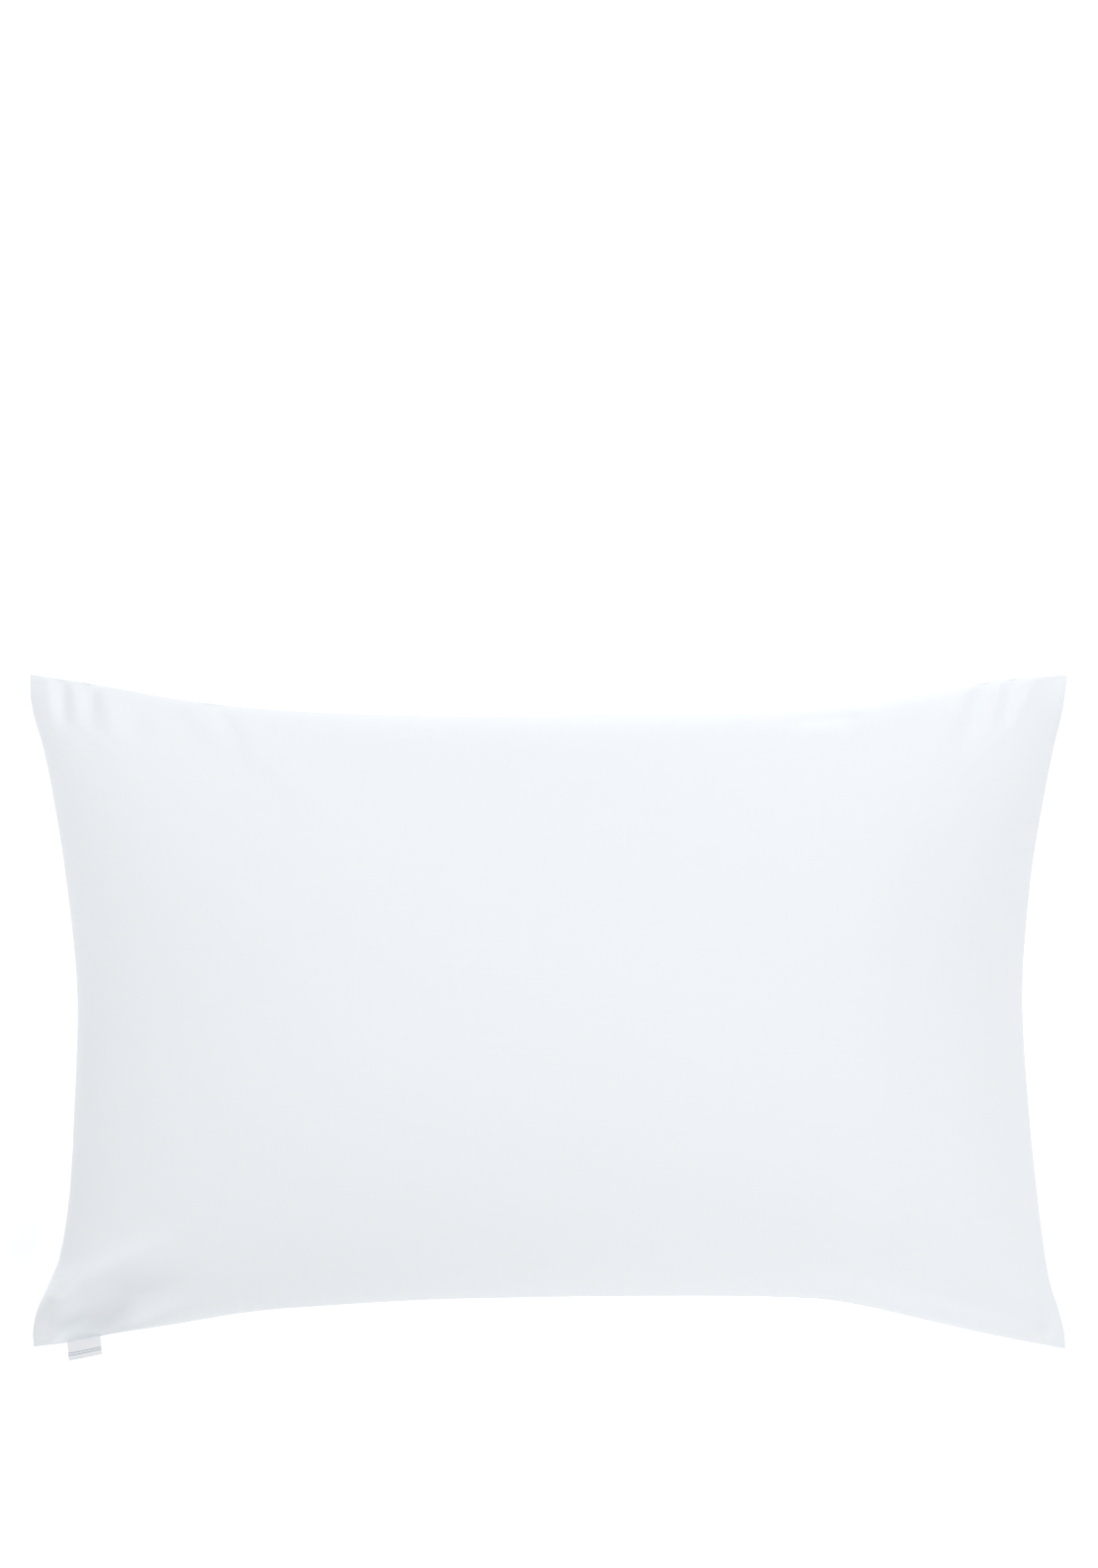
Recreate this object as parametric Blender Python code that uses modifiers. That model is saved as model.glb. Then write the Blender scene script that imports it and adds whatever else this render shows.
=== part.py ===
"""White cotton pillowcase, filled and lying on its back, with a folded label in its lower seam.

Run it with: blender --background --python part.py
Metres, +Z up. X runs along the long side and Y towards the upper long side. The origin is on the
surface that the pillowcase rests on, under the middle of its box.

The case is two panels, each cut to 750 x 500 mm and sewn together all round. Filled, it is one
solid: a crowned front, a back that lies flat where it rests, and the narrow seam between them.
Both panels are worked out in panel coordinates u and v, which run from -1 to 1 along the long and
the short side of the flat cloth.
"""

import math
from collections import namedtuple

import bmesh
import bpy
from mathutils import Vector

MM = 0.001

# Where the four corners of the filled case lie, seen from above, in millimetres
Corner = namedtuple("Corner", "x y")
UPPER_LEFT = Corner(-367.9, 238.9)
UPPER_RIGHT = Corner(367.4, 238.2)
LOWER_LEFT = Corner(-365.5, -237.8)
LOWER_RIGHT = Corner(366.0, -239.2)

# How far the filling draws each side in from the straight line between its corners.
# Columns: share of the side, draw-in in millimetres. Long sides run left to right.
Draw = namedtuple("Draw", "share inward")
UPPER_SIDE = (
    Draw(0.000, 0.0),
    Draw(0.067, 7.7),
    Draw(0.134, 16.7),
    Draw(0.210, 23.7),
    Draw(0.320, 28.5),
    Draw(0.450, 29.8),
    Draw(0.630, 28.3),
    Draw(0.750, 25.6),
    Draw(0.800, 21.8),
    Draw(0.857, 14.1),
    Draw(0.924, 5.0),
    Draw(0.962, 1.4),
    Draw(1.000, 0.0),
)
LOWER_SIDE = (
    Draw(0.000, 0.0),
    Draw(0.035, 3.2),
    Draw(0.074, 9.0),
    Draw(0.131, 15.6),
    Draw(0.210, 25.2),
    Draw(0.284, 29.8),
    Draw(0.400, 34.6),
    Draw(0.630, 37.3),
    Draw(0.744, 36.0),
    Draw(0.790, 32.4),
    Draw(0.858, 21.5),
    Draw(0.925, 10.4),
    Draw(0.983, 2.1),
    Draw(1.000, 0.0),
)
# Short sides run from the upper corner to the lower one.
LEFT_SIDE = (
    Draw(0.000, 0.0),
    Draw(0.030, 0.1),
    Draw(0.060, 2.3),
    Draw(0.116, 9.9),
    Draw(0.204, 18.0),
    Draw(0.290, 24.3),
    Draw(0.420, 31.3),
    Draw(0.510, 33.0),
    Draw(0.645, 30.3),
    Draw(0.777, 26.2),
    Draw(0.865, 19.2),
    Draw(0.909, 10.7),
    Draw(0.944, 2.9),
    Draw(0.975, -0.3),
    Draw(1.000, 0.0),
)
RIGHT_SIDE = (
    Draw(0.000, 0.0),
    Draw(0.030, 1.6),
    Draw(0.060, 4.1),
    Draw(0.114, 10.3),
    Draw(0.202, 18.4),
    Draw(0.290, 25.2),
    Draw(0.420, 30.9),
    Draw(0.500, 31.5),
    Draw(0.600, 28.6),
    Draw(0.730, 22.8),
    Draw(0.860, 14.9),
    Draw(0.906, 10.6),
    Draw(0.941, 5.0),
    Draw(0.975, 0.8),
    Draw(1.000, 0.0),
)

# Heights of the filled case
SEAM_HEIGHT = 76 * MM        # the seam above the resting surface, halfway along a side
CORNER_DROOP = 16 * MM       # how much lower the seam is at the corners
SEAM_THICKNESS = 3 * MM      # four layers of cloth turned inwards at the seam
FRONT_CROWN = 90 * MM        # the front's highest point above the seam
CROWN_LONG = (2.5, 0.60)     # powers of the crown's rise along the long side
CROWN_SHORT = (2.2, 0.56)    # the same along the short side
REST_LONG = 0.42             # the share of the back's length that lies flat
REST_SHORT = 0.40            # the share of its width that does

# The main folds of the front, as soft troughs and ridges along a path of two to four points.
# Columns: path in millimetres, seen from above; half width; rise at the path's start and at its
# end, all in millimetres. A rise below zero is a trough.
Fold = namedtuple("Fold", "path half_width rise_start rise_end")
FOLDS = (
    # pleats that run down from the upper seam near the upper left corner
    Fold(((-355, 235), (-353, 206)), 5.0, 2.6, 0.8),
    Fold(((-346, 233), (-342, 204)), 5.0, -4.6, -1.2),
    Fold(((-337, 234), (-334, 212)), 5.0, 4.0, 0.8),
    Fold(((-327, 232), (-323, 207)), 5.5, -5.0, -1.2),
    Fold(((-314, 228), (-308, 198)), 7.0, 4.5, 1.0),
    Fold(((-296, 222), (-288, 194)), 8.0, -3.0, -0.8),
    Fold(((-256, 217), (-231, 190)), 7.0, 3.5, 1.2),
    Fold(((-240, 219), (-218, 193)), 6.0, -5.0, -1.4),
    Fold(((-222, 213), (-208, 184)), 8.0, 3.0, 0.8),
    Fold(((-210, 194), (-155, 141)), 14.0, 2.2, 0.8),
    # the tuck under the upper seam and the pleats near the upper right corner
    Fold(((178, 206), (214, 208)), 6.0, -4.0, -4.0),
    Fold(((220, 212), (228, 188)), 8.0, 3.0, 0.8),
    Fold(((262, 218), (270, 186)), 14.0, 2.5, 1.0),
    Fold(((296, 229), (278, 198)), 6.5, 3.5, 1.0),
    Fold(((309, 232), (294, 190)), 6.5, -5.0, -1.4),
    Fold(((319, 233), (311, 208)), 5.0, 3.0, 0.8),
    Fold(((328, 234), (322, 206)), 5.5, -4.5, -1.2),
    Fold(((341, 234), (329, 206)), 6.0, 3.6, 1.2),
    Fold(((358, 236), (353, 190)), 8.0, -3.0, -1.4),
    # the ear at the lower left corner with the ridge behind it, the deep valley under them, and
    # the roll beside the valley
    Fold(((-348, -204), (-337, -193), (-318, -181), (-280, -164)), 12.0, 15.0, 1.5),
    Fold(((-338, -229), (-317, -215), (-300, -204), (-255, -191)), 11.0, -34.0, -2.0),
    Fold(((-292, -226), (-262, -214), (-222, -203)), 9.0, 5.0, 1.0),
    # the hollow along the lower seam and the turned lip at the lower right corner
    Fold(((148, -193), (206, -196)), 8.0, -0.4, -3.4),
    Fold(((218, -198), (300, -217), (344, -229)), 7.0, -3.8, -3.0),
    Fold(((350, -182), (353, -205), (353, -226)), 5.5, -1.5, -2.6),
    # the soft crease down the right end of the face
    Fold(((228, 125), (236, -150)), 28.0, 1.5, 2.0),
)
FOLD_FADE = 6 * MM           # folds die out over this width next to the seam
TROUGH_SHARE = 0.8           # no trough goes deeper than this share of the way to the back panel

# The label: a satin tape folded in two, its ends caught in the lower seam
LABEL_MIDDLE = 0.049         # share of the lower side, from the lower left corner
LABEL_WIDTH = 23.5 * MM
LABEL_LENGTH = 12.6 * MM     # what hangs out of the seam
TAPE_THICKNESS = 0.6 * MM
LOOP_HALF_HEIGHT = 1.0 * MM  # half the height of the loop at its fold
ROOT_HALF_HEIGHT = 0.5 * MM  # the same at the seam
LABEL_DROOP = 0.22           # how far the label drops for each unit that it stands out
LABEL_SKEW = 0.12            # how far it leans to the left for each of those units
SEAM_CLEARANCE = 0.3 * MM

# How finely the panels and the label are divided
CELLS_LONG = 72
CELLS_SHORT = 36
EDGE_CROWDING = 0.55         # 0 spaces the cells evenly, more crowds them towards the seam
LABEL_CELLS_WIDE = 6
LABEL_CELLS_LAYER = 4
LABEL_CELLS_FOLD = 6

COTTON_WHITE = (0.90, 0.92, 0.95, 1.0)
SATIN_WHITE = (0.86, 0.88, 0.92, 1.0)


def clear_scene():
    """Remove whatever the scene holds at the start."""
    for item in list(bpy.data.objects):
        bpy.data.objects.remove(item, do_unlink=True)


def smooth_step(value):
    """Go from 0 to 1 without a corner as value does."""
    value = min(max(value, 0.0), 1.0)
    return value * value * (3 - 2 * value)


def table_slope(rows, index):
    """The slope of a side's table at one row, from its neighbours."""
    before = rows[max(index - 1, 0)]
    after = rows[min(index + 1, len(rows) - 1)]
    return (after.inward - before.inward) / (after.share - before.share)


def draw_in(rows, share):
    """Read a side's table at any share, on a smooth curve through its rows."""
    index = 0
    while index < len(rows) - 2 and rows[index + 1].share < share:
        index += 1
    first = rows[index]
    second = rows[index + 1]
    step = second.share - first.share
    t = (share - first.share) / step
    value = first.inward * (1 + 2 * t) * (1 - t) ** 2
    value += second.inward * t * t * (3 - 2 * t)
    value += table_slope(rows, index) * step * t * (1 - t) ** 2
    value += table_slope(rows, index + 1) * step * t * t * (t - 1)
    return value


def side_point(start, end, rows, share):
    """A point of the seam, seen from above: the straight side, drawn in to its right."""
    start = Vector((start.x, start.y))
    end = Vector((end.x, end.y))
    along = (end - start).normalized()
    inward = Vector((along.y, -along.x))
    return (start.lerp(end, share) + inward * draw_in(rows, share)) * MM


def upper_point(share):
    """The upper seam, from left to right."""
    return side_point(UPPER_LEFT, UPPER_RIGHT, UPPER_SIDE, share)


def lower_point(share):
    """The lower seam, from left to right; it is drawn in to the left of its run."""
    mirrored = tuple(Draw(1 - row.share, row.inward) for row in reversed(LOWER_SIDE))
    return side_point(LOWER_RIGHT, LOWER_LEFT, mirrored, 1 - share)


def left_point(share):
    """The left seam, from the upper corner to the lower one."""
    mirrored = tuple(Draw(1 - row.share, row.inward) for row in reversed(LEFT_SIDE))
    return side_point(LOWER_LEFT, UPPER_LEFT, mirrored, 1 - share)


def right_point(share):
    """The right seam, from the upper corner to the lower one."""
    return side_point(UPPER_RIGHT, LOWER_RIGHT, RIGHT_SIDE, share)


def plan_point(u, v):
    """Where a point of either panel lies, seen from above: a patch spanned by the four sides."""
    across = (u + 1) / 2
    down = (1 - v) / 2
    between_long = upper_point(across).lerp(lower_point(across), down)
    between_short = left_point(down).lerp(right_point(down), across)
    upper = upper_point(0).lerp(upper_point(1), across)
    lower = lower_point(0).lerp(lower_point(1), across)
    return between_long + between_short - upper.lerp(lower, down)


def rise(share, powers):
    """How full the case is at a share of the way from its middle to its seam."""
    roundness, steepness = powers
    return max(1 - abs(share) ** roundness, 0.0) ** steepness


def beyond(share, flat):
    """How far a share is outside the back's flat middle: 0 inside it, 1 at the seam."""
    return max(abs(share) - flat, 0.0) / (1 - flat)


def seam_level(u, v):
    """The height of the surface that the seam lies in, lower towards the corners."""
    return SEAM_HEIGHT - CORNER_DROOP * abs(u * v) ** 3


def front_point(u, v):
    """A point of the front panel before its folds."""
    place = plan_point(u, v)
    fullness = rise(u, CROWN_LONG) * rise(v, CROWN_SHORT)
    height = seam_level(u, v) + SEAM_THICKNESS / 2 + FRONT_CROWN * fullness
    return Vector((place.x, place.y, height))


def back_point(u, v):
    """A point of the back panel, which sinks from the seam to its flat middle."""
    place = plan_point(u, v)
    depth = rise(beyond(u, REST_LONG), CROWN_LONG) * rise(beyond(v, REST_SHORT), CROWN_SHORT)
    height = (seam_level(u, v) - SEAM_THICKNESS / 2) * (1 - depth)
    return Vector((place.x, place.y, height))


def nearest_on_path(path, place):
    """The distance from a place to a path, and the share of the path where it is nearest."""
    points = [Vector(point) * MM for point in path]
    lengths = [(b - a).length for a, b in zip(points, points[1:])]
    best_distance = math.inf
    best_share = 0.0
    walked = 0.0
    for start, end, length in zip(points, points[1:], lengths):
        t = (place - start).dot(end - start) / length ** 2
        t = min(max(t, 0.0), 1.0)
        distance = (place - start.lerp(end, t)).length
        if distance < best_distance:
            best_distance = distance
            best_share = (walked + t * length) / sum(lengths)
        walked += length
    return best_distance, best_share


def fold_rise(place):
    """How far the folds lift the front at a place, seen from above."""
    total = 0.0
    for fold in FOLDS:
        distance, share = nearest_on_path(fold.path, place)
        height = fold.rise_start + (fold.rise_end - fold.rise_start) * share
        total += height * MM * math.exp(-(distance / (fold.half_width * MM)) ** 2)
    return total


def seam_fade(u, v):
    """0 at the seam and 1 where the folds have their full height."""
    long_gap = (1 - abs(u)) * UPPER_RIGHT.x * MM
    short_gap = (1 - abs(v)) * UPPER_RIGHT.y * MM
    return smooth_step(min(long_gap, short_gap) / FOLD_FADE)


def crowded(share):
    """Move a cell line towards the seam, where the cloth turns most."""
    return (1 - EDGE_CROWDING) * share + EDGE_CROWDING * math.sin(share * math.pi / 2)


def panel(bm, point_of):
    """Add one panel's grid of cloth to bm and shape it; returns its vertices with their u and v."""
    grid = bmesh.ops.create_grid(bm, x_segments=CELLS_LONG, y_segments=CELLS_SHORT, size=1.0)
    shaped = []
    for vert in grid["verts"]:
        u = crowded(vert.co.x)
        v = crowded(vert.co.y)
        vert.co = point_of(u, v)
        shaped.append((vert, u, v))
    return shaped


def raise_folds(shaped):
    """Lift and sink the front panel by its folds, its troughs never down to the back panel."""
    for vert, u, v in shaped:
        lift = fold_rise(vert.co.xy) * seam_fade(u, v)
        if lift < 0:
            room = TROUGH_SHARE * (vert.co.z - back_point(u, v).z)
            lift = -room * (1 - math.exp(lift / room))
        vert.co.z += lift


def build_case():
    """The filled pillowcase: front and back panel, joined by the seam all round."""
    bm = bmesh.new()
    front = panel(bm, front_point)
    raise_folds(front)
    back = panel(bm, back_point)
    back_verts = {vert for vert, u, v in back}
    back_faces = [face for face in bm.faces if face.verts[0] in back_verts]
    bmesh.ops.reverse_faces(bm, faces=back_faces)
    seam_edges = [edge for edge in bm.edges if edge.is_boundary]
    bmesh.ops.bridge_loops(bm, edges=seam_edges)
    bmesh.ops.recalc_face_normals(bm, faces=bm.faces)
    return finish_mesh(bm, "pillowcase")


def loop_line():
    """The folded tape's middle line from seam to seam: how far out, and how high."""
    straight = LABEL_LENGTH - LOOP_HALF_HEIGHT
    line = []
    for step in range(LABEL_CELLS_LAYER):
        share = step / LABEL_CELLS_LAYER
        half = ROOT_HALF_HEIGHT + (LOOP_HALF_HEIGHT - ROOT_HALF_HEIGHT) * smooth_step(share)
        line.append((straight * share, half))
    for step in range(LABEL_CELLS_FOLD + 1):
        angle = math.pi / 2 - math.pi * step / LABEL_CELLS_FOLD
        out = straight + LOOP_HALF_HEIGHT * math.cos(angle)
        line.append((out, LOOP_HALF_HEIGHT * math.sin(angle)))
    lower_layer = [(out, -height) for out, height in reversed(line[:LABEL_CELLS_LAYER])]
    return line + lower_layer


def build_label():
    """The label, standing out of the lower seam and drooping a little."""
    half_share = LABEL_WIDTH / 2 / (lower_point(1) - lower_point(0)).length
    first = lower_point(LABEL_MIDDLE - half_share)
    last = lower_point(LABEL_MIDDLE + half_share)
    along = (last - first).normalized()
    outward = Vector((along.y, -along.x))
    line = loop_line()
    bm = bmesh.new()
    grid = bmesh.ops.create_grid(
        bm, x_segments=len(line) - 1, y_segments=LABEL_CELLS_WIDE, size=1.0)
    for vert in grid["verts"]:
        out, height = line[round((vert.co.x + 1) / 2 * (len(line) - 1))]
        share = LABEL_MIDDLE + half_share * vert.co.y
        root = lower_point(share) + outward * (SEAM_CLEARANCE + out) - along * LABEL_SKEW * out
        level = seam_level(2 * share - 1, -1) - LABEL_DROOP * out
        vert.co = Vector((root.x, root.y, level + height))
    label = finish_mesh(bm, "side_label")
    tape = label.modifiers.new("tape", "SOLIDIFY")
    tape.thickness = TAPE_THICKNESS
    tape.offset = 0.0
    return label


def finish_mesh(bm, name):
    """Turn a bmesh into a smooth-shaded object with the given name."""
    mesh = bpy.data.meshes.new(name)
    bm.to_mesh(mesh)
    bm.free()
    mesh.shade_smooth()
    return bpy.data.objects.new(name, mesh)


def cloth_material(name, colour, roughness):
    """A plain woven cloth."""
    material = bpy.data.materials.new(name)
    material.use_nodes = True
    shader = material.node_tree.nodes["Principled BSDF"]
    shader.inputs["Base Color"].default_value = colour
    shader.inputs["Roughness"].default_value = roughness
    shader.inputs["Metallic"].default_value = 0.0
    return material


def stand_over_origin(parts):
    """Shift all parts together so that the middle of their box is over the origin."""
    points = [vert.co for part in parts for vert in part.data.vertices]
    middle_x = (min(p.x for p in points) + max(p.x for p in points)) / 2
    middle_y = (min(p.y for p in points) + max(p.y for p in points)) / 2
    for part in parts:
        for vert in part.data.vertices:
            vert.co.x -= middle_x
            vert.co.y -= middle_y


def main():
    """Build the pillowcase and its label in a collection of their own."""
    clear_scene()
    collection = bpy.data.collections.new("pillowcase")
    bpy.context.scene.collection.children.link(collection)
    case = build_case()
    label = build_label()
    case.data.materials.append(cloth_material("white cotton", COTTON_WHITE, 0.85))
    label.data.materials.append(cloth_material("white satin tape", SATIN_WHITE, 0.55))
    for part in (case, label):
        collection.objects.link(part)
    stand_over_origin((case, label))


main()
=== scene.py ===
"""White cotton pillowcase, filled and lying on its back, with a folded label in its lower seam.

Metres, +Z up. The case is two panels of cloth sewn together all round. Both are worked out in cloth
coordinates: how far a point lies along the long and the short side of the flat panel, in metres
from its middle. u and v are the matching shares of the filled case, -1 to 1 from seam to seam.
"""

import math
from collections import namedtuple

import bmesh
import bpy
import numpy as np
from bpy.props import FloatProperty, FloatVectorProperty, IntProperty, PointerProperty
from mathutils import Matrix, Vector


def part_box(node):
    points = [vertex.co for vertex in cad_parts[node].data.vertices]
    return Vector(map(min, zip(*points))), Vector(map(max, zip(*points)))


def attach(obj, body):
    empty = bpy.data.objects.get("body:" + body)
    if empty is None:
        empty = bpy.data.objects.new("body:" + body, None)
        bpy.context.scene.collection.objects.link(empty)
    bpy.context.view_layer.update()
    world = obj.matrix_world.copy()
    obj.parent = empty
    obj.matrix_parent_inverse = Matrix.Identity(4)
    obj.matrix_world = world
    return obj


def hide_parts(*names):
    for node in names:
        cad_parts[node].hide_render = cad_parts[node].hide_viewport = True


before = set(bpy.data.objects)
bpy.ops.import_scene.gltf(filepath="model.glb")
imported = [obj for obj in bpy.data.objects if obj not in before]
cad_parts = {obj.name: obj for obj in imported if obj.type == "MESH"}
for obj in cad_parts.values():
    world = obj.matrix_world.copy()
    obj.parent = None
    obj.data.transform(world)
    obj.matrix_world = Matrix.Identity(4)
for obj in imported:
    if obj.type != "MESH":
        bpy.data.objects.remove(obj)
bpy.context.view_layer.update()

bl_info = {
    "name": "White Cotton Pillowcase",
    "version": (1, 0, 0),
    "blender": (4, 5, 0),
    "location": "3D View > Sidebar > Pillowcase",
    "description": "Builds a filled cotton pillowcase with its hem stitches, its label and a studio",
    "category": "Object",
}

MM = 0.001
CASE_LOW, CASE_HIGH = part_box("pillowcase")

# ---------------------------------------------------------------------------------------------
# The outline of the filled case, seen from above

# Where its four corners lie, in millimetres
Corner = namedtuple("Corner", "x y")
UPPER_LEFT = Corner(-367.9, 238.9)
UPPER_RIGHT = Corner(367.4, 238.2)
LOWER_LEFT = Corner(-365.5, -237.8)
LOWER_RIGHT = Corner(366.0, -239.2)

# How far the filling draws each side in from the straight line between its corners.
# Columns: share of the side, draw-in in millimetres. Long sides run left to right.
Draw = namedtuple("Draw", "share inward")
UPPER_SIDE = (
    Draw(0.000, 0.0),
    Draw(0.067, 7.7),
    Draw(0.134, 16.7),
    Draw(0.210, 23.7),
    Draw(0.320, 28.5),
    Draw(0.450, 29.8),
    Draw(0.630, 28.3),
    Draw(0.750, 25.6),
    Draw(0.800, 21.8),
    Draw(0.857, 14.1),
    Draw(0.924, 5.0),
    Draw(0.962, 1.4),
    Draw(1.000, 0.0),
)
LOWER_SIDE = (
    Draw(0.000, 0.0),
    Draw(0.035, 3.2),
    Draw(0.074, 9.0),
    Draw(0.131, 15.6),
    Draw(0.210, 25.2),
    Draw(0.284, 29.8),
    Draw(0.400, 34.6),
    Draw(0.630, 37.3),
    Draw(0.744, 36.0),
    Draw(0.790, 32.4),
    Draw(0.858, 21.5),
    Draw(0.925, 10.4),
    Draw(0.983, 2.1),
    Draw(1.000, 0.0),
)
# Short sides run from the upper corner to the lower one.
LEFT_SIDE = (
    Draw(0.000, 0.0),
    Draw(0.030, 0.1),
    Draw(0.060, 2.3),
    Draw(0.116, 9.9),
    Draw(0.204, 18.0),
    Draw(0.290, 24.3),
    Draw(0.420, 31.3),
    Draw(0.510, 33.0),
    Draw(0.645, 30.3),
    Draw(0.777, 26.2),
    Draw(0.865, 19.2),
    Draw(0.909, 10.7),
    Draw(0.944, 2.9),
    Draw(0.975, -0.3),
    Draw(1.000, 0.0),
)
RIGHT_SIDE = (
    Draw(0.000, 0.0),
    Draw(0.030, 1.6),
    Draw(0.060, 4.1),
    Draw(0.114, 10.3),
    Draw(0.202, 18.4),
    Draw(0.290, 25.2),
    Draw(0.420, 30.9),
    Draw(0.500, 31.5),
    Draw(0.600, 28.6),
    Draw(0.730, 22.8),
    Draw(0.860, 14.9),
    Draw(0.906, 10.6),
    Draw(0.941, 5.0),
    Draw(0.975, 0.8),
    Draw(1.000, 0.0),
)

# ---------------------------------------------------------------------------------------------
# The form of the filled case

SEAM_HEIGHT = 76 * MM        # the seam above the resting surface, halfway along a side
CORNER_DROOP = 16 * MM       # how much lower the seam is at the corners
CROWN_LONG = (2.5, 0.60)     # powers of the crown's rise along the long side
CROWN_SHORT = (2.2, 0.56)    # the same along the short side
REST_LONG = 0.42             # the share of the back's length that lies flat
REST_SHORT = 0.40            # the share of its width that does
REST_SOFTNESS = 0.6 * MM     # the height over which the back turns flat on the floor
DROOP_POWER = 3              # the higher it is, the closer to the corners the seam droops
OUTLINE_POINTS = 200         # points of each side from which the outline's box is found
MIDLINE_POINTS = 4001        # points of a panel's middle line by which its length is measured

# The main folds of the front, as soft troughs and ridges along a path of two to four points.
# Columns: path in millimetres, seen from above; half width; rise at the path's start and at its
# end, all in millimetres. A rise below zero is a trough.
Fold = namedtuple("Fold", "path half_width rise_start rise_end")
FRONT_FOLDS = (
    # pleats that run down from the upper seam near the upper left corner
    Fold(((-355, 235), (-353, 206)), 5.0, 2.6, 0.8),
    Fold(((-346, 233), (-342, 204)), 5.0, -4.6, -1.2),
    Fold(((-337, 234), (-334, 212)), 5.0, 4.0, 0.8),
    Fold(((-327, 232), (-323, 207)), 5.5, -5.0, -1.2),
    Fold(((-314, 228), (-308, 198)), 7.0, 4.5, 1.0),
    Fold(((-296, 222), (-288, 194)), 8.0, -3.0, -0.8),
    Fold(((-256, 217), (-231, 190)), 7.0, 3.5, 1.2),
    Fold(((-240, 219), (-218, 193)), 6.0, -5.0, -1.4),
    Fold(((-222, 213), (-208, 184)), 8.0, 3.0, 0.8),
    Fold(((-210, 194), (-155, 141)), 14.0, 2.2, 0.8),
    # the tuck under the upper seam and the pleats near the upper right corner
    Fold(((178, 206), (214, 208)), 6.0, -4.0, -4.0),
    Fold(((220, 212), (228, 188)), 8.0, 3.0, 0.8),
    Fold(((262, 218), (270, 186)), 14.0, 2.5, 1.0),
    Fold(((296, 229), (278, 198)), 6.5, 3.5, 1.0),
    Fold(((309, 232), (294, 190)), 6.5, -5.0, -1.4),
    Fold(((319, 233), (311, 208)), 5.0, 3.0, 0.8),
    Fold(((328, 234), (322, 206)), 5.5, -4.5, -1.2),
    Fold(((341, 234), (329, 206)), 6.0, 3.6, 1.2),
    Fold(((358, 236), (353, 190)), 8.0, -3.0, -1.4),
    # the ear at the lower left corner with the ridge behind it, the deep valley under them, and
    # the roll beside the valley
    Fold(((-348, -204), (-337, -193), (-318, -181), (-280, -164)), 12.0, 15.0, 1.5),
    Fold(((-338, -229), (-317, -215), (-300, -204), (-255, -191)), 11.0, -34.0, -2.0),
    Fold(((-292, -226), (-262, -214), (-222, -203)), 9.0, 5.0, 1.0),
    # the hollow along the lower seam and the turned lip at the lower right corner
    Fold(((148, -193), (206, -196)), 8.0, -0.4, -3.4),
    Fold(((218, -198), (300, -217), (344, -229)), 7.0, -3.8, -3.0),
    Fold(((350, -182), (353, -205), (353, -226)), 5.5, -1.5, -2.6),
    # the soft crease down the right end of the face
    Fold(((228, 125), (236, -150)), 28.0, 1.5, 2.0),
)
FOLD_FADE = 6 * MM           # folds die out over this width next to the seam
TROUGH_SHARE = 0.8           # no trough goes deeper than this share of the way to the back panel
LEAST_ROOM = 0.1 * MM        # the way that is left to a trough where the panels meet
# The closeness to a corner is 0 along the middle lines of a panel and 1 in its corners. Between
# these two values of it the settled moves of the front die out, and nearer to the corners all folds
# are those of the table.
HAND_PLACED = (0.5, 0.8)

# The small gathers beside the seam
GATHER_WAVES = (9 * MM, 26 * MM)        # shortest and longest of the waves that make them up
GATHER_STRETCHES = (90 * MM, 260 * MM)  # the same of the stretches over which they grow and fade
GATHER_EVENNESS = 0.6        # the share of their strength that is even all along a seam
GATHER_LIMIT = 1.6           # how many times their set height the highest of them may have
INWARD_SHARE = 1 / 3         # the back goes in by no more than this share of the case's thickness

# The seam's groove and the line that the hem's stitches press into the cloth
GROOVE_ROWS = 3              # the seam is pulled towards the case's middle this many rows inside it
GROOVE_FADE = 10 * MM        # the groove dies out over this length next to a corner
STITCH_REACH = 1.4 * MM      # the cloth is pressed in about this far to either side of the stitches

EASE_POWER = 1.5             # the higher it is, the closer to the corners the spare cloth lies
TINY = 1e-9                  # keeps a division by a length from failing where that length is zero

# How finely the cloth is divided: cells along the long and the short side
FINE_CELLS = (240, 160)
TRIAL_CELLS = (120, 80)
# Rows of points added next to the seam, by their distance from it, to round the cloth's turn there
SEAM_ROWS = (0.9 * MM, 1.9 * MM)
# Rows of points added beside the hem's stitches, by their distance from them
HEM_ROWS = (-1.8 * MM, -0.8 * MM, 0.0, 0.8 * MM, 1.8 * MM)
HEM_ROOM = 2.52 * MM         # other rows that lie closer to the stitches than this are left out


def linear(hex_colour):
    """Turn an sRGB hex colour into linear red, green, blue and alpha."""
    values = [int(hex_colour[at:at + 2], 16) / 255 for at in (1, 3, 5)]
    return tuple(v / 12.92 if v <= 0.04045 else ((v + 0.055) / 1.055) ** 2.4 for v in values) + (1.0,)


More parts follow.
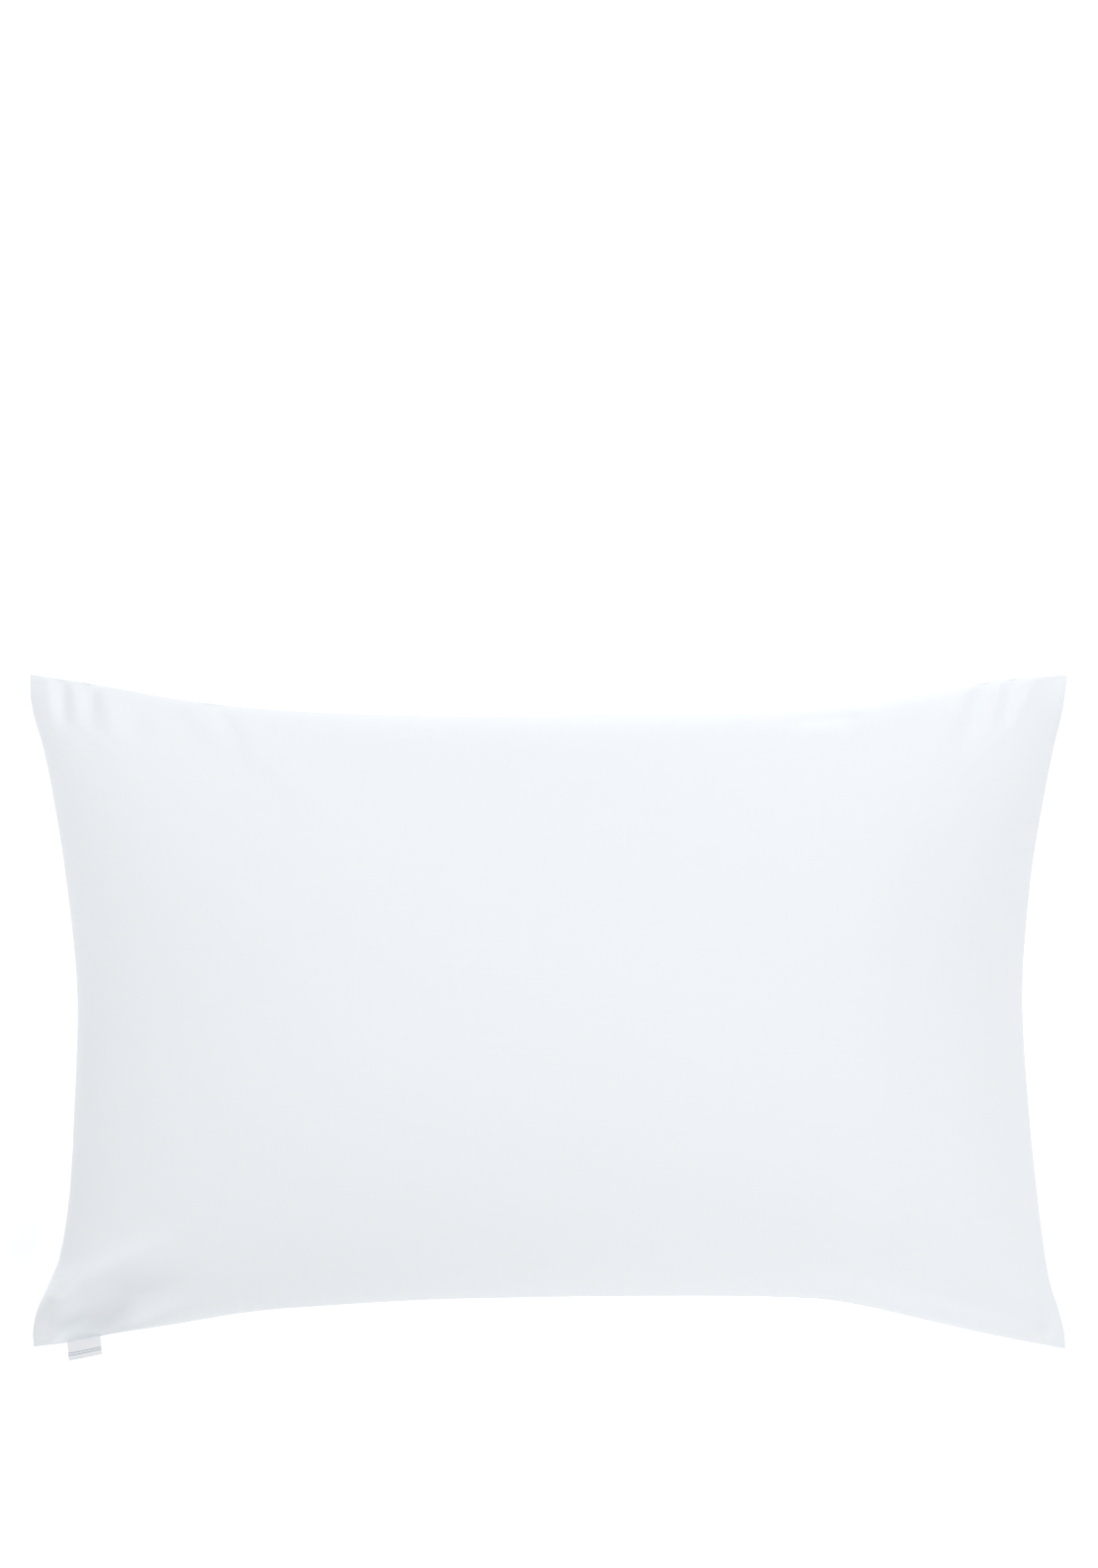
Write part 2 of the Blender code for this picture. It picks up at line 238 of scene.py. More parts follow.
class ClothSettings(bpy.types.PropertyGroup):
    """Sizes and colour of the pillowcase's cloth"""

    panel_length: FloatProperty(
        name="Panel length", description="Length that each panel is cut to",
        default=0.75, unit="LENGTH")
    panel_width: FloatProperty(
        name="Panel width", description="Width that each panel is cut to",
        default=0.50, unit="LENGTH")
    ease_middle: FloatProperty(
        name="Ease at the sides", description="Spare cloth along the middle of each seam",
        default=0.006, subtype="FACTOR")
    ease_corner: FloatProperty(
        name="Ease at the corners", description="Spare cloth where two seams meet",
        default=0.03, subtype="FACTOR")
    ease_reach: FloatProperty(
        name="Ease reach", description="How far from the seam the spare cloth reaches",
        default=0.045, unit="LENGTH")
    pressure: FloatProperty(
        name="Filling pressure", description="How hard the filling presses on the cloth",
        default=6.0)
    frames: IntProperty(
        name="Settling steps", description="Steps of cloth simulation",
        default=30)
    largest_move: FloatProperty(
        name="Largest move", description="How far the simulation may move a point",
        default=0.012, unit="LENGTH")
    pucker: FloatProperty(
        name="Seam pucker", description="Height of the small gathers along the seam",
        default=0.0005, unit="LENGTH")
    pucker_reach: FloatProperty(
        name="Pucker reach", description="How far from the seam the gathers reach",
        default=0.014, unit="LENGTH")
    groove: FloatProperty(
        name="Seam groove", description="Depth of the groove between front and back",
        default=0.0014, unit="LENGTH")
    colour: FloatVectorProperty(
        name="Cotton", description="Colour of the cotton, linear",
        default=linear("#EEF2F6")[:3], subtype="COLOR", size=3)


class HemSettings(bpy.types.PropertyGroup):
    """Sizes of the stitched hem on the back, at the case's mouth"""

    distance: FloatProperty(
        name="Hem depth", description="Distance of the stitches from the mouth",
        default=0.032, unit="LENGTH")
    pitch: FloatProperty(
        name="Stitch pitch", description="Distance from one stitch to the next",
        default=0.0028, unit="LENGTH")
    stitch: FloatProperty(
        name="Stitch length", description="Length of one stitch",
        default=0.0021, unit="LENGTH")
    thread: FloatProperty(
        name="Thread", description="Thickness of the sewing thread",
        default=0.0005, unit="LENGTH")
    sink: FloatProperty(
        name="Stitch line depth", description="How far the stitches pull the cloth in",
        default=0.0006, unit="LENGTH")


class LabelSettings(bpy.types.PropertyGroup):
    """Sizes of the folded label"""

    middle: FloatProperty(
        name="Place", description="Share of the lower seam, from its left corner",
        default=0.049, subtype="FACTOR")
    width: FloatProperty(
        name="Tape width", description="Width of the satin tape",
        default=0.0235, unit="LENGTH")
    length: FloatProperty(
        name="Length", description="How far the folded tape stands out of the seam",
        default=0.0126, unit="LENGTH")
    thickness: FloatProperty(
        name="Tape thickness", description="Thickness of one layer of tape",
        default=0.00035, unit="LENGTH")


class StudioSettings(bpy.types.PropertyGroup):
    """Floor, light and camera"""

    floor_glow: FloatProperty(
        name="Floor glow", description="Light that the white floor gives by itself",
        default=0.3)
    sky: FloatProperty(
        name="Sky", description="Strength of the soft light from all round",
        default=0.38)
    lamps: FloatProperty(
        name="Lamps", description="Share of their full power that the soft boxes give",
        default=1.0, subtype="FACTOR")
    distance: FloatProperty(
        name="Camera distance", description="Height of the camera above the seam",
        default=9.0, unit="LENGTH")


# ---------------------------------------------------------------------------------------------
# Small helpers

def add_node(tree, kind, inputs=(), **settings):
    """Add a node with its settings; inputs pairs its sockets with constants or with outputs."""
    node = tree.nodes.new(kind)
    for name, value in settings.items():
        setattr(node, name, value)
    for name, value in dict(inputs).items():
        if isinstance(value, bpy.types.NodeSocket):
            tree.links.new(value, node.inputs[name])
        else:
            node.inputs[name].default_value = value
    return node


def new_material(name):
    """A material with an empty node tree."""
    material = bpy.data.materials.new(name)
    material.use_nodes = True
    material.node_tree.nodes.clear()
    return material


def wave_scale(pitch):
    """The scale at which a wave texture's bands repeat at a pitch; at scale 1 it is a tenth of pi."""
    return math.pi / 10 / pitch


def show(name, mesh):
    """Put a mesh in the scene as an object."""
    piece = bpy.data.objects.new(name, mesh)
    bpy.context.scene.collection.objects.link(piece)
    return piece


def hermite(first, second, slope_first, slope_second, t):
    """A smooth curve from first to second as t goes from 0 to 1, with the slopes given."""
    value = first * (1 + 2 * t) * (1 - t) ** 2 + second * t * t * (3 - 2 * t)
    return value + slope_first * t * (1 - t) ** 2 + slope_second * t * t * (t - 1)


def smooth_step(value):
    """Go from 0 to 1 without a corner as value does."""
    value = np.clip(value, 0.0, 1.0)
    return value * value * (3 - 2 * value)


# ---------------------------------------------------------------------------------------------
# The form of the case

def draw_in(rows, share):
    """Read a side's table at any share, on a smooth curve through its rows."""
    at = np.array([row.share for row in rows])
    inward = np.array([row.inward for row in rows])
    before = np.maximum(np.arange(len(rows)) - 1, 0)
    after = np.minimum(np.arange(len(rows)) + 1, len(rows) - 1)
    slope = (inward[after] - inward[before]) / (at[after] - at[before])
    row = np.clip(np.searchsorted(at, share, side="right") - 1, 0, len(rows) - 2)
    step = at[row + 1] - at[row]
    t = (share - at[row]) / step
    return hermite(inward[row], inward[row + 1], slope[row] * step, slope[row + 1] * step, t)


def side_point(start, end, rows, share, turn):
    """Points of the seam, seen from above; turn says to which side of its run it is drawn in."""
    start, end = np.array(start), np.array(end)
    along = (end - start) / np.linalg.norm(end - start)
    inward = turn * np.array((-along[1], along[0]))
    share = np.asarray(share)[..., None]
    return (start + (end - start) * share + inward * draw_in(rows, share)) * MM


def upper_point(share):
    """The upper seam, from left to right."""
    return side_point(UPPER_LEFT, UPPER_RIGHT, UPPER_SIDE, share, -1)


def lower_point(share):
    """The lower seam, from left to right."""
    return side_point(LOWER_LEFT, LOWER_RIGHT, LOWER_SIDE, share, 1)


def left_point(share):
    """The left seam, from the upper corner to the lower one."""
    return side_point(UPPER_LEFT, LOWER_LEFT, LEFT_SIDE, share, 1)


def right_point(share):
    """The right seam, from the upper corner to the lower one."""
    return side_point(UPPER_RIGHT, LOWER_RIGHT, RIGHT_SIDE, share, -1)


def frame_shift():
    """From the outline's own place to the frame's: the middles of the two boxes coincide."""
    share = np.linspace(0, 1, OUTLINE_POINTS)
    rim = np.concatenate([side(share) for side in (upper_point, lower_point, left_point, right_point)])
    middle = (np.array(CASE_LOW) + np.array(CASE_HIGH))[:2] / 2
    return middle - (rim.min(axis=0) + rim.max(axis=0)) / 2


SHIFT = frame_shift()


def plan_point(u, v):
    """Where points of either panel lie, seen from above: a patch spanned by the four sides."""
    across = ((u + 1) / 2)[..., None]
    down = ((1 - v) / 2)[..., None]
    between_long = upper_point(across[..., 0]) * (1 - down) + lower_point(across[..., 0]) * down
    between_short = left_point(down[..., 0]) * (1 - across) + right_point(down[..., 0]) * across
    upper = upper_point(0) * (1 - across) + upper_point(1) * across
    lower = lower_point(0) * (1 - across) + lower_point(1) * across
    return between_long + between_short - upper * (1 - down) - lower * down + SHIFT


def rise(share, powers):
    """How full the case is at a share of the way from its middle to its seam."""
    roundness, steepness = powers
    return np.maximum(1 - np.abs(share) ** roundness, 0.0) ** steepness


def beyond(share, flat):
    """How far a share is outside the back's flat middle: 0 inside it, 1 at the seam."""
    return np.maximum(np.abs(share) - flat, 0.0) / (1 - flat)


def seam_level(u, v):
    """The height of the surface that the seam lies in, lower towards the corners."""
    return SEAM_HEIGHT - CORNER_DROOP * np.abs(u * v) ** DROOP_POWER


def front_form(u, v):
    """Points of the front panel before its folds."""
    crown = CASE_HIGH.z - SEAM_HEIGHT
    height = seam_level(u, v) + crown * rise(u, CROWN_LONG) * rise(v, CROWN_SHORT)
    return np.concatenate([plan_point(u, v), height[..., None]], axis=-1)


def back_form(u, v):
    """Points of the back panel, which sinks from the seam to its flat middle."""
    depth = rise(beyond(u, REST_LONG), CROWN_LONG) * rise(beyond(v, REST_SHORT), CROWN_SHORT)
    height = seam_level(u, v) * (1 - depth)
    return np.concatenate([plan_point(u, v), height[..., None]], axis=-1)


class Cloth:
    """Both panels as grids of points that share their rim.

    long and short hold the rows' places on the flat cloth, in metres from its middle; u and v are
    the panel coordinates of every point of the grid.
    """

    def __init__(self, settings, cells, seam_rows=(), hem_at=None):
        self.size = (settings.panel_length, settings.panel_width)
        self.hem_at = hem_at
        self.long = self.rows(0, cells[0], seam_rows, hem_at)
        self.short = self.rows(1, cells[1], seam_rows)
        u, v = np.meshgrid(self.shares(0, self.long), self.shares(1, self.short), indexing="ij")
        self.front = front_form(u, v)
        self.back = back_form(u, v)
        flat = np.meshgrid(self.long, self.short, indexing="ij")
        self.to_short_seam = self.size[0] / 2 - np.abs(flat[0])
        self.to_long_seam = self.size[1] / 2 - np.abs(flat[1])
        self.flat = np.stack(flat, axis=-1)

    def rows(self, axis, cells, seam_rows, hem_at=None):
        """The places of the grid's rows along one side of the flat panel."""
        half = self.size[axis] / 2
        places = list(np.linspace(-half, half, cells + 1))
        if hem_at is not None:
            stitches = half - hem_at
            places = [place for place in places if abs(place - stitches) > HEM_ROOM]
            places += [stitches + row for row in HEM_ROWS]
        for row in seam_rows:
            places += [row - half, half - row]
        return np.array(sorted(places))

    def shares(self, axis, places):
        """Turn places on the flat cloth into shares of the form, by length along its middle."""
        share = np.sin(np.linspace(-math.pi / 2, math.pi / 2, MIDLINE_POINTS))
        middle = np.zeros_like(share)
        line = front_form(*((share, middle) if axis == 0 else (middle, share)))
        walked = np.concatenate([[0], np.cumsum(np.linalg.norm(np.diff(line, axis=0), axis=1))])
        half = self.size[axis] / 2
        return np.interp((places + half) / (2 * half) * walked[-1], walked, share)

    def rim(self):
        """Which points of a grid lie in the seam."""
        on_rim = np.zeros(self.front.shape[:2], dtype=bool)
        on_rim[0, :] = on_rim[-1, :] = on_rim[:, 0] = on_rim[:, -1] = True
        return on_rim

    def mesh(self, name):
        """A closed mesh of both panels, with a UV map in metres of flat cloth."""
        rim = self.rim()
        front_ids = np.arange(rim.size).reshape(rim.shape)
        inner = np.cumsum(~rim).reshape(rim.shape) - 1 + rim.size
        back_ids = np.where(rim, front_ids, inner)
        points = np.concatenate([self.front.reshape(-1, 3), self.back[~rim]])
        front_quads = quads(front_ids)
        back_quads = quads(back_ids)[:, ::-1]
        faces = np.concatenate([front_quads, back_quads])
        mesh = bpy.data.meshes.new(name)
        mesh.from_pydata(points.tolist(), [], faces.tolist())
        flat = self.flat.reshape(-1, 2)
        back_flat = flat + (self.size[0], 0)
        front_uv = flat[quads(front_ids)]
        back_uv = back_flat[quads(front_ids)][:, ::-1]
        layer = mesh.uv_layers.new(name="cloth")
        layer.data.foreach_set("uv", np.concatenate([front_uv, back_uv]).ravel())
        if self.hem_at is not None:
            row = np.argmin(np.abs(self.long - (self.size[0] / 2 - self.hem_at)))
            marks = mesh.attributes.new("hem_line", "BOOLEAN", "POINT")
            for index in back_ids[row, 1:-1].tolist():
                marks.data[index].value = True
        mesh.shade_smooth()
        return mesh

    def split(self, points):
        """Turn a mesh's points back into the front and the back grid."""
        rim = self.rim()
        front = points[:rim.size].reshape(rim.shape + (3,))
        back = front.copy()
        back[~rim] = points[rim.size:]
        return front, back


def quads(ids):
    """The faces between a grid's points."""
    return np.stack([ids[:-1, :-1], ids[1:, :-1], ids[1:, 1:], ids[:-1, 1:]], axis=-1).reshape(-1, 4)


def normals(grid):
    """The outward directions of a front panel's points, of length one."""
    across = np.cross(np.gradient(grid, axis=0), np.gradient(grid, axis=1))
    return across / np.linalg.norm(across, axis=-1, keepdims=True)


def resample(grid, old, new, axis):
    """Read a grid between its rows along one axis, on smooth curves."""
    grid = np.moveaxis(grid, axis, 0)
    slope = np.gradient(grid, old, axis=0)
    row = np.clip(np.searchsorted(old, new, side="right") - 1, 0, len(old) - 2)
    shape = (-1,) + (1,) * (grid.ndim - 1)
    step = (old[row + 1] - old[row]).reshape(shape)
    t = (new - old[row]).reshape(shape) / step
    value = hermite(grid[row], grid[row + 1], slope[row] * step, slope[row + 1] * step, t)
    return np.moveaxis(value, 0, axis)


def ease_share(cloth, settings):
    """How much of the corner's spare cloth each point of a panel has, from 0 to 1."""
    half_long, half_short = settings.panel_length / 2, settings.panel_width / 2
    corner = np.abs(cloth.flat[..., 0] / half_long * cloth.flat[..., 1] / half_short)
    middle = settings.ease_middle / settings.ease_corner
    amount = middle + (1 - middle) * corner ** EASE_POWER
    gap = np.minimum(cloth.to_long_seam, cloth.to_short_seam)
    return amount * np.exp(-(gap / settings.ease_reach) ** 2)


def settle(cloth, settings):
    """Let the filling press the cloth out: how far each point of the front and back grid moves."""
    mesh = cloth.mesh("trial cloth")
    trial = show("trial_cloth", mesh)
    start = np.empty(len(mesh.vertices) * 3)
    mesh.vertices.foreach_get("co", start)
    start = start.reshape(-1, 3)
    rim = cloth.rim()
    held = trial.vertex_groups.new(name="held")
    resting = start[:, 2] < REST_SOFTNESS
    on_rim = np.zeros(len(start), dtype=bool)
    on_rim[:rim.size] = rim.ravel()
    held.add(np.flatnonzero(on_rim | resting).tolist(), 1.0, "REPLACE")
    spare = trial.vertex_groups.new(name="spare cloth")
    share = ease_share(cloth, settings)
    shares = np.concatenate([share.ravel(), share[~rim]])
    for index, value in enumerate(shares.tolist()):
        spare.add([index], value, "REPLACE")
    modifier = trial.modifiers.new("cloth", "CLOTH")
    # In the solver's own units: stiff along its threads, limp when bent, and slowed down so that it
    # comes to rest within the settling steps
    cotton = modifier.settings
    cotton.quality = 6
    cotton.mass = 0.15
    cotton.tension_stiffness = 60
    cotton.compression_stiffness = 60
    cotton.shear_stiffness = 15
    cotton.bending_stiffness = 0.02
    cotton.tension_damping = cotton.compression_damping = cotton.shear_damping = 8
    cotton.bending_damping = 0.5
    cotton.air_damping = 1.5
    cotton.effector_weights.gravity = 0
    cotton.vertex_group_mass = held.name
    cotton.vertex_group_shrink = spare.name
    cotton.shrink_min = 0.0
    cotton.shrink_max = -settings.ease_corner
    cotton.use_pressure = True
    cotton.uniform_pressure_force = settings.pressure
    modifier.point_cache.frame_start = 1
    modifier.point_cache.frame_end = settings.frames
    scene = bpy.context.scene
    for step in range(1, settings.frames + 1):
        scene.frame_set(step)
    settled = trial.evaluated_get(bpy.context.evaluated_depsgraph_get()).to_mesh()
    end = np.empty(len(settled.vertices) * 3)
    settled.vertices.foreach_get("co", end)
    move = end.reshape(-1, 3) - start
    print("settle: largest %.1f mm, mean %.2f mm" % (
        np.linalg.norm(move, axis=1).max() / MM, np.linalg.norm(move, axis=1).mean() / MM))
    length = np.linalg.norm(move, axis=1, keepdims=True)
    move *= np.minimum(1.0, settings.largest_move / np.maximum(length, TINY))
    scene.frame_set(1)
    bpy.data.objects.remove(trial, do_unlink=True)
    bpy.data.meshes.remove(mesh)
    return cloth.split(move)


def nearest_on_path(path, places):
    """Distances from places to a path, and the share of the path where each is nearest."""
    points = np.array(path) * MM + SHIFT
    lengths = np.linalg.norm(np.diff(points, axis=0), axis=1)
    nearest = np.full(places.shape[:-1], np.inf)
    share = np.zeros(places.shape[:-1])
    walked = 0.0
    for start, end, length in zip(points, points[1:], lengths):
        t = np.clip((places - start) @ (end - start) / length ** 2, 0, 1)
        distance = np.linalg.norm(places - start - t[..., None] * (end - start), axis=-1)
        closer = distance < nearest
        nearest = np.where(closer, distance, nearest)
        share = np.where(closer, (walked + t * length) / lengths.sum(), share)
        walked += length
    return nearest, share


def fold_rise(folds, places):
    """How far the folds lift a panel at places seen from above."""
    total = np.zeros(places.shape[:-1])
    for fold in folds:
        distance, share = nearest_on_path(fold.path, places)
        height = fold.rise_start + (fold.rise_end - fold.rise_start) * share
        total += height * MM * np.exp(-(distance / (fold.half_width * MM)) ** 2)
    return total


def uneven_wave(rng, places, shortest, longest, waves=48):
    """A lively line along a seam: many waves of random length and phase, of height about one."""
    lengths = rng.uniform(shortest, longest, waves)
    phases = rng.uniform(0, 2 * math.pi, waves)
    line = np.cos(2 * math.pi * places[:, None] / lengths + phases).sum(axis=1)
    return line / math.sqrt(waves / 2)


def pucker_rise(cloth, settings, seed):
    """The small gathers next to the seam, which run straight away from it."""
    rng = np.random.default_rng(seed)
    total = np.zeros(cloth.front.shape[:2])
    for axis, gap in ((0, cloth.to_long_seam), (1, cloth.to_short_seam)):
        along = cloth.long if axis == 0 else cloth.short
        for side in (-1, 1):
            wave = uneven_wave(rng, along, *GATHER_WAVES)
            swell = uneven_wave(rng, along, *GATHER_STRETCHES, waves=6)
            strength = GATHER_EVENNESS + (1 - GATHER_EVENNESS) * swell
            line = np.clip(wave * strength, -GATHER_LIMIT, GATHER_LIMIT)
            line = line[:, None] if axis == 0 else line[None, :]
            beside = cloth.flat[..., 1 - axis] * side > 0
            total += np.where(beside, line * np.exp(-gap / settings.pucker_reach), 0)
    return total * settings.pucker


def rested(height):
    """Press heights flat on the floor, turning smoothly."""
    soft = REST_SOFTNESS
    turning = (height + soft) ** 2 / (4 * soft)
    return np.where(height <= -soft, 0.0, np.where(height >= soft, height, turning))


def dress(cloth, trial, moves, settings, hem):
    """Give the fine cloth its settled shape, its folds and gathers, the hem's line and the seam."""
    front_move, back_move = moves
    for axis, old, new in ((0, trial.long, cloth.long), (1, trial.short, cloth.short)):
        front_move = resample(front_move, old, new, axis)
        back_move = resample(back_move, old, new, axis)
    corner = np.abs(cloth.flat[..., 0] / cloth.long[-1] * cloth.flat[..., 1] / cloth.short[-1])
    first, last = HAND_PLACED
    cloth.front += front_move * (1 - smooth_step((corner - first) / (last - first)))[..., None]
    cloth.back += back_move
    room = TROUGH_SHARE * (cloth.front[..., 2] - cloth.back[..., 2]).clip(LEAST_ROOM)
    fade = smooth_step(np.minimum(cloth.to_long_seam, cloth.to_short_seam) / FOLD_FADE)
    lift = fold_rise(FRONT_FOLDS, cloth.front[..., :2]) * fade
    lift += pucker_rise(cloth, settings, seed=11) * fade
    troughs = room * (1 - np.exp(np.minimum(lift, 0) / room))
    cloth.front[..., 2] += np.maximum(lift, 0) - troughs
    hem_gap = np.abs(settings.panel_length / 2 - hem.distance - cloth.flat[..., 0])
    bulge = pucker_rise(cloth, settings, seed=12) * fade
    bulge -= hem.sink * np.exp(-(hem_gap / STITCH_REACH) ** 2) * fade
    thickness = cloth.front[..., 2] - cloth.back[..., 2]
    bulge = np.maximum(bulge, -INWARD_SHARE * thickness)
    cloth.back -= normals(cloth.back) * bulge[..., None]
    cloth.back[..., 2] = rested(cloth.back[..., 2])
    close_seam(cloth, settings)


def close_seam(cloth, settings):
    """Pull the rim in, so that front and back roll into a narrow groove that ends at the corners."""
    rim = cloth.rim()
    toward = np.zeros_like(cloth.front)
    middle = (cloth.front + cloth.back) / 2
    for axis in (0, 1):
        for edge, inner in ((0, GROOVE_ROWS), (-1, -1 - GROOVE_ROWS)):
            at = (edge, slice(None)) if axis == 0 else (slice(None), edge)
            inside = (inner, slice(None)) if axis == 0 else (slice(None), inner)
            toward[at] += middle[inside] - middle[at]
    length = np.linalg.norm(toward, axis=-1, keepdims=True)
    toward /= np.maximum(length, TINY)
    to_corner = np.maximum(cloth.to_long_seam, cloth.to_short_seam)[rim]
    depth = settings.groove * smooth_step(to_corner / GROOVE_FADE)
    cloth.front[rim] += toward[rim] * depth[:, None]
    cloth.back[rim] = cloth.front[rim]


# The cotton's threads lie about 0.3 mm apart. They are drawn coarser, and so are the slubs, which are
# thicker stretches of a thread, because finer ones would not show from a step away.
THREAD_PITCH = 0.9 * MM
SLUB_WIDTH = 2 * MM
SLUB_LENGTH = 40 * MM
SLUB_SHIFT = 3.7             # keeps the slubs along the cloth from repeating those across it


def cotton_material(settings):
    """Plain-weave cotton, bleached and washed: matt, with soft fuzz and faintly uneven threads."""
    material = new_material("bleached plain-weave cotton")
    tree = material.node_tree
    coords = add_node(tree, "ShaderNodeTexCoord")
    threads = []
    slubs = []
    across, along = 1 / SLUB_WIDTH, 1 / SLUB_LENGTH
    for axis, stretch, shift in (("X", (across, along, 1), 0), ("Y", (along, across, 1), SLUB_SHIFT)):
        mapping = add_node(tree, "ShaderNodeMapping", {
            "Vector": coords.outputs["UV"], "Scale": stretch, "Location": (shift, 0, 0)})
        slub = add_node(tree, "ShaderNodeTexNoise", {
            "Vector": mapping.outputs["Vector"], "Scale": 1.0, "Detail": 2.0},
            noise_dimensions="2D")
        slubs.append(slub.outputs["Fac"])
        wave = add_node(tree, "ShaderNodeTexWave", {
            "Vector": coords.outputs["UV"], "Scale": wave_scale(THREAD_PITCH), "Distortion": 0.0},
            wave_type="BANDS", bands_direction=axis, wave_profile="SIN")
        threads.append(wave.outputs["Fac"])
    uneven = add_node(tree, "ShaderNodeMath", {0: slubs[0], 1: slubs[1]}, operation="ADD")
    tone = add_node(tree, "ShaderNodeMapRange", {
        "Value": uneven.outputs[0], "From Min": 0.7, "From Max": 1.3, "To Min": 0.992, "To Max": 1.0})
    tint = add_node(tree, "ShaderNodeMix", {
        "Factor": 1.0, "A": (*settings.colour, 1.0), "B": tone.outputs["Result"]},
        data_type="RGBA", blend_type="MULTIPLY")
    weave = add_node(tree, "ShaderNodeMath", {0: threads[0], 1: threads[1]}, operation="MULTIPLY")
    woven = add_node(tree, "ShaderNodeBump", {
        "Height": weave.outputs[0], "Distance": 0.05 * MM, "Strength": 0.35})
    bump = add_node(tree, "ShaderNodeBump", {
        "Height": uneven.outputs[0], "Distance": 0.15 * MM, "Strength": 0.5,
        "Normal": woven.outputs["Normal"]})
    shader = add_node(tree, "ShaderNodeBsdfPrincipled", {
        "Base Color": tint.outputs[2], "Roughness": 0.88, "IOR": 1.46,
        "Sheen Weight": 0.12, "Sheen Roughness": 0.55, "Normal": bump.outputs["Normal"]})
    add_node(tree, "ShaderNodeOutputMaterial", {"Surface": shader.outputs["BSDF"]})
    return material


class PILLOWCASE_OT_cloth(bpy.types.Operator):
    """Build the filled case from its two panels of cloth"""

    bl_idname = "pillowcase.make_cloth"
    bl_label = "Cloth"

    def execute(self, context):
        settings = context.scene.pillowcase_cloth
        hem = context.scene.pillowcase_hem
        trial = Cloth(settings, TRIAL_CELLS)
        moves = settle(trial, settings)
        cloth = Cloth(settings, FINE_CELLS, SEAM_ROWS, hem.distance)
        dress(cloth, trial, moves, settings, hem)
        case = show("case_cloth", cloth.mesh("case cloth"))
        case.data.materials.append(cotton_material(settings))
        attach(case, "root")
        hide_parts("pillowcase")
        return {"FINISHED"}


# The label's tape is a loop, flat where the seam holds it and open at its fold
LOOP_HALF_HEIGHT = 0.9 * MM    # half the loop's height at its fold
ROOT_HALF_HEIGHT = 0.25 * MM   # the same in the seam
ROOT_DEPTH = 0.7 * MM          # how far the ends reach into the seam's groove
LABEL_DROOP = 0.22             # how far the label drops for each unit that it stands out
LABEL_SKEW = 0.12              # how far it leans to the left for each of those units
LABEL_CURL = 0.5 * MM          # how far its two side edges hang below its middle
LABEL_CELLS = (48, 20, 14)     # cells across the tape, along each layer, and round the fold


def loop_line(length):
    """The folded tape's middle line from seam to seam: how far out of the seam, and how high."""
    _, layer_cells, fold_cells = LABEL_CELLS
    straight = length - LOOP_HALF_HEIGHT
    share = np.linspace(0, 1, layer_cells + 1)[:-1]
    out = -ROOT_DEPTH + (straight + ROOT_DEPTH) * share
    half = ROOT_HALF_HEIGHT + (LOOP_HALF_HEIGHT - ROOT_HALF_HEIGHT) * smooth_step(share)
    angle = np.linspace(math.pi / 2, -math.pi / 2, fold_cells + 1)
    fold = np.stack([straight + LOOP_HALF_HEIGHT * np.cos(angle), LOOP_HALF_HEIGHT * np.sin(angle)], 1)
    upper = np.stack([out, half], 1)
    lower = np.stack([out[::-1], -half[::-1]], 1)
    return np.concatenate([upper, fold, lower])


def label_points(label):
    """The tape's points, from its left edge to its right one and from seam to seam."""
    seam = lower_point(np.array([0.0, 1.0]))
    half_share = label.width / 2 / np.linalg.norm(seam[1] - seam[0])
    share = label.middle + half_share * np.linspace(-1, 1, LABEL_CELLS[0] + 1)
    root = lower_point(share) + SHIFT
    along = (root[-1] - root[0]) / np.linalg.norm(root[-1] - root[0])
    outward = np.array((along[1], -along[0]))
    line = loop_line(label.length)
    out, height = line[:, 0], line[:, 1]
    place = root[:, None, :] + (outward - along * LABEL_SKEW) * out[None, :, None]
    level = seam_level(2 * share - 1, np.full_like(share, -1.0))
    curl = LABEL_CURL * np.linspace(-1, 1, len(share)) ** 2
    z = (level - curl)[:, None] + (height - LABEL_DROOP * out)[None, :]
    return np.concatenate([place, z[..., None]], axis=-1)


def label_mesh(label):
    """The folded tape as one strip of cloth, with a UV map in metres."""
    points = label_points(label)
    ids = np.arange(points[..., 0].size).reshape(points.shape[:2])
    faces = quads(ids)
    mesh = bpy.data.meshes.new("label")
    mesh.from_pydata(points.reshape(-1, 3).tolist(), [], faces.tolist())
    line = loop_line(label.length)
    walked = np.concatenate([[0], np.cumsum(np.linalg.norm(np.diff(line, axis=0), axis=1))])
    across = np.linspace(-label.width / 2, label.width / 2, LABEL_CELLS[0] + 1)
    flat = np.stack(np.meshgrid(across, walked - walked[-1] / 2, indexing="ij"), axis=-1)
    layer = mesh.uv_layers.new(name="tape")
    layer.data.foreach_set("uv", flat.reshape(-1, 2)[faces].ravel())
    mesh.shade_smooth()
    return mesh, walked[-1]


# Two fine grey lines woven across the tape on each of its faces
STRIPE_MIDDLE = 4.8 * MM     # from the fold to halfway between the two lines
STRIPE_SPACING = 1.6 * MM    # from the middle of one line to that of the other
STRIPE_WIDTH = 0.6 * MM
STRIPE_BLUR = 0.1            # the share of that width by which each edge fades to either side
SATIN_RIB_PITCH = 0.5 * MM   # as drawn: a satin thread is really about 0.1 mm thick


